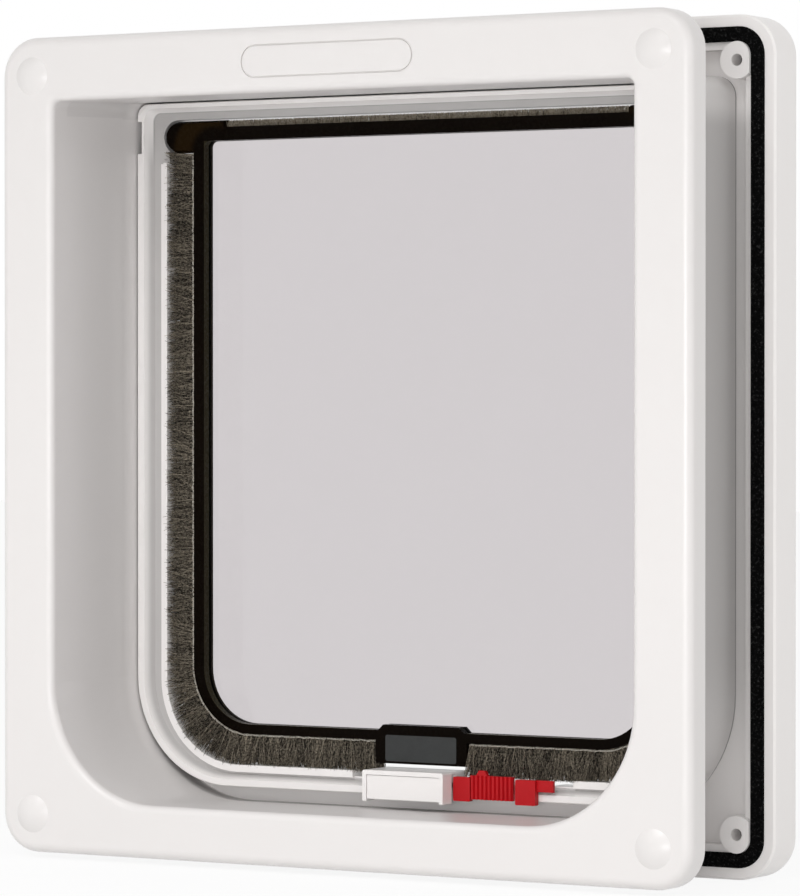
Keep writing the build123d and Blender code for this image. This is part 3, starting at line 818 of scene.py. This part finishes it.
class CATFLAP_OT_brushes(bpy.types.Operator):
    """Set the bristles round the flap and bind their roots"""

    bl_idname = "cat_flap.brushes"
    bl_label = "Brushes"

    def execute(self, context):
        side_pile("Left_brush_pile", -1, "brush_left", 31)
        side_pile("Right_brush_pile", 1, "brush_right", 32)
        top_pile()
        thread_run("Left_binding_thread", -1)
        thread_run("Right_binding_thread", 1)
        return {"FINISHED"}


# Name, place, aim, size in metres, power in watts, spread of the light
LAMPS = (
    ("Key_softbox", (0.84, -1.88, 0.03), (0, -0.02, 0), (0.9, 0.26), 8.3, math.pi),
    ("Floor_softbox", (0.0, -0.85, 0.55), (0.0, -0.62, CAD_BOX[0].z), (0.8, 0.5), 2.2, math.radians(80)),
    ("Top_softbox", (0.20, -1.30, 1.50), (0, -0.02, 0), (1.2, 0.9), 2.2, math.pi),
    ("Side_softbox", (1.70, -0.20, 0.30), (0, 0, 0), (0.9, 1.2), 1.9, math.pi),
)


def backdrop_rays(sheet, share):
    """A share of the camera's rays, and all rays through the pane or off a gloss."""
    seen = sheet.node("ShaderNodeLightPath", output="Is Camera Ray")
    glass = sheet.node("ShaderNodeLightPath", output="Is Transmission Ray")
    gloss = sheet.node("ShaderNodeLightPath", output="Is Glossy Ray")
    return (seen * share).maximum(glass).maximum(gloss)


def lamp(name, place, aim, size, power, spread):
    light = bpy.data.lights.new(name, "AREA")
    light.shape = "RECTANGLE"
    light.size, light.size_y = size
    light.energy = power
    light.spread = spread
    thing = bpy.data.objects.new(name, light)
    thing.location = place
    thing.rotation_euler = (Vector(aim) - Vector(place)).to_track_quat("-Z", "Y").to_euler()
    bpy.context.collection.objects.link(thing)


class CATFLAP_OT_stage(bpy.types.Operator):
    """Floor, light, backdrop and camera"""

    bl_idname = "cat_flap.stage"
    bl_label = "Stage"

    def execute(self, context):
        scene = context.scene
        studio = scene.cat_flap_studio
        clear_selection()
        bpy.ops.mesh.primitive_plane_add(size=8.0, location=(0, 0, CAD_BOX[0].z - 0.0002))
        floor = context.object
        floor.name = "Studio_floor"
        paint = bpy.data.materials.new("Studio white")
        paint.use_nodes = True
        sheet = Sheet(paint.node_tree)
        matt = sheet.node("ShaderNodeBsdfDiffuse", None, {"Color": (0.9, 0.9, 0.9, 1)})
        glow = sheet.node("ShaderNodeEmission", None, {"Color": (1, 1, 1, 1), "Strength": 1.0})
        mixed = sheet.node("ShaderNodeMixShader", None, {0: backdrop_rays(sheet, 0.9), 1: matt, 2: glow})
        sheet.node("ShaderNodeOutputMaterial", None, {"Surface": mixed})
        floor.data.materials.append(paint)

        world = bpy.data.worlds.new("Studio world")
        world.use_nodes = True
        scene.world = world
        sky = Sheet(world.node_tree)
        even = sky.node("ShaderNodeBackground", None, {"Color": (1, 0.99, 0.98, 1), "Strength": studio.ambient})
        back = sky.node("ShaderNodeBackground", None, {"Color": (1, 1, 1, 1), "Strength": 1.0})
        mixed = sky.node("ShaderNodeMixShader", None, {0: backdrop_rays(sky, 1.0), 1: even, 2: back})
        sky.node("ShaderNodeOutputWorld", None, {"Surface": mixed})

        for settings in LAMPS:
            lamp(*settings)

        eye = bpy.data.cameras.new("Photo_camera")
        eye.lens = studio.lens
        eye.sensor_width = 36.0
        eye.clip_end = 20.0
        view = bpy.data.objects.new("Photo_camera", eye)
        view.location = studio.eye
        view.rotation_euler = Vector(studio.aim).to_track_quat("-Z", "Y").to_euler()
        context.collection.objects.link(view)
        scene.camera = view
        scene.view_settings.view_transform = "Standard"
        return {"FINISHED"}


OPERATORS = (
    CATFLAP_OT_mouldings,
    CATFLAP_OT_gasket,
    CATFLAP_OT_brushes,
    CATFLAP_OT_stage,
)


class CATFLAP_PT_panel(bpy.types.Panel):
    """Cat flap tools"""

    bl_idname = "CATFLAP_PT_panel"
    bl_label = "Cat flap"
    bl_space_type = "VIEW_3D"
    bl_region_type = "UI"
    bl_category = "Cat flap"

    def draw(self, context):
        for operator in OPERATORS:
            self.layout.operator(operator.bl_idname)


CLASSES = (CatFlapFinish, CatFlapPile, CatFlapStudio, *OPERATORS, CATFLAP_PT_panel)
GROUPS = {"cat_flap_finish": CatFlapFinish, "cat_flap_pile": CatFlapPile, "cat_flap_studio": CatFlapStudio}


def register():
    for item in CLASSES:
        bpy.utils.register_class(item)
    for name, group in GROUPS.items():
        setattr(bpy.types.Scene, name, bpy.props.PointerProperty(type=group))


def unregister():
    for name in GROUPS:
        delattr(bpy.types.Scene, name)
    for item in reversed(CLASSES):
        bpy.utils.unregister_class(item)


def main():
    register()
    bpy.ops.cat_flap.mouldings()
    bpy.ops.cat_flap.gasket()
    bpy.ops.cat_flap.brushes()
    bpy.ops.cat_flap.stage()


if __name__ == "__main__":
    main()
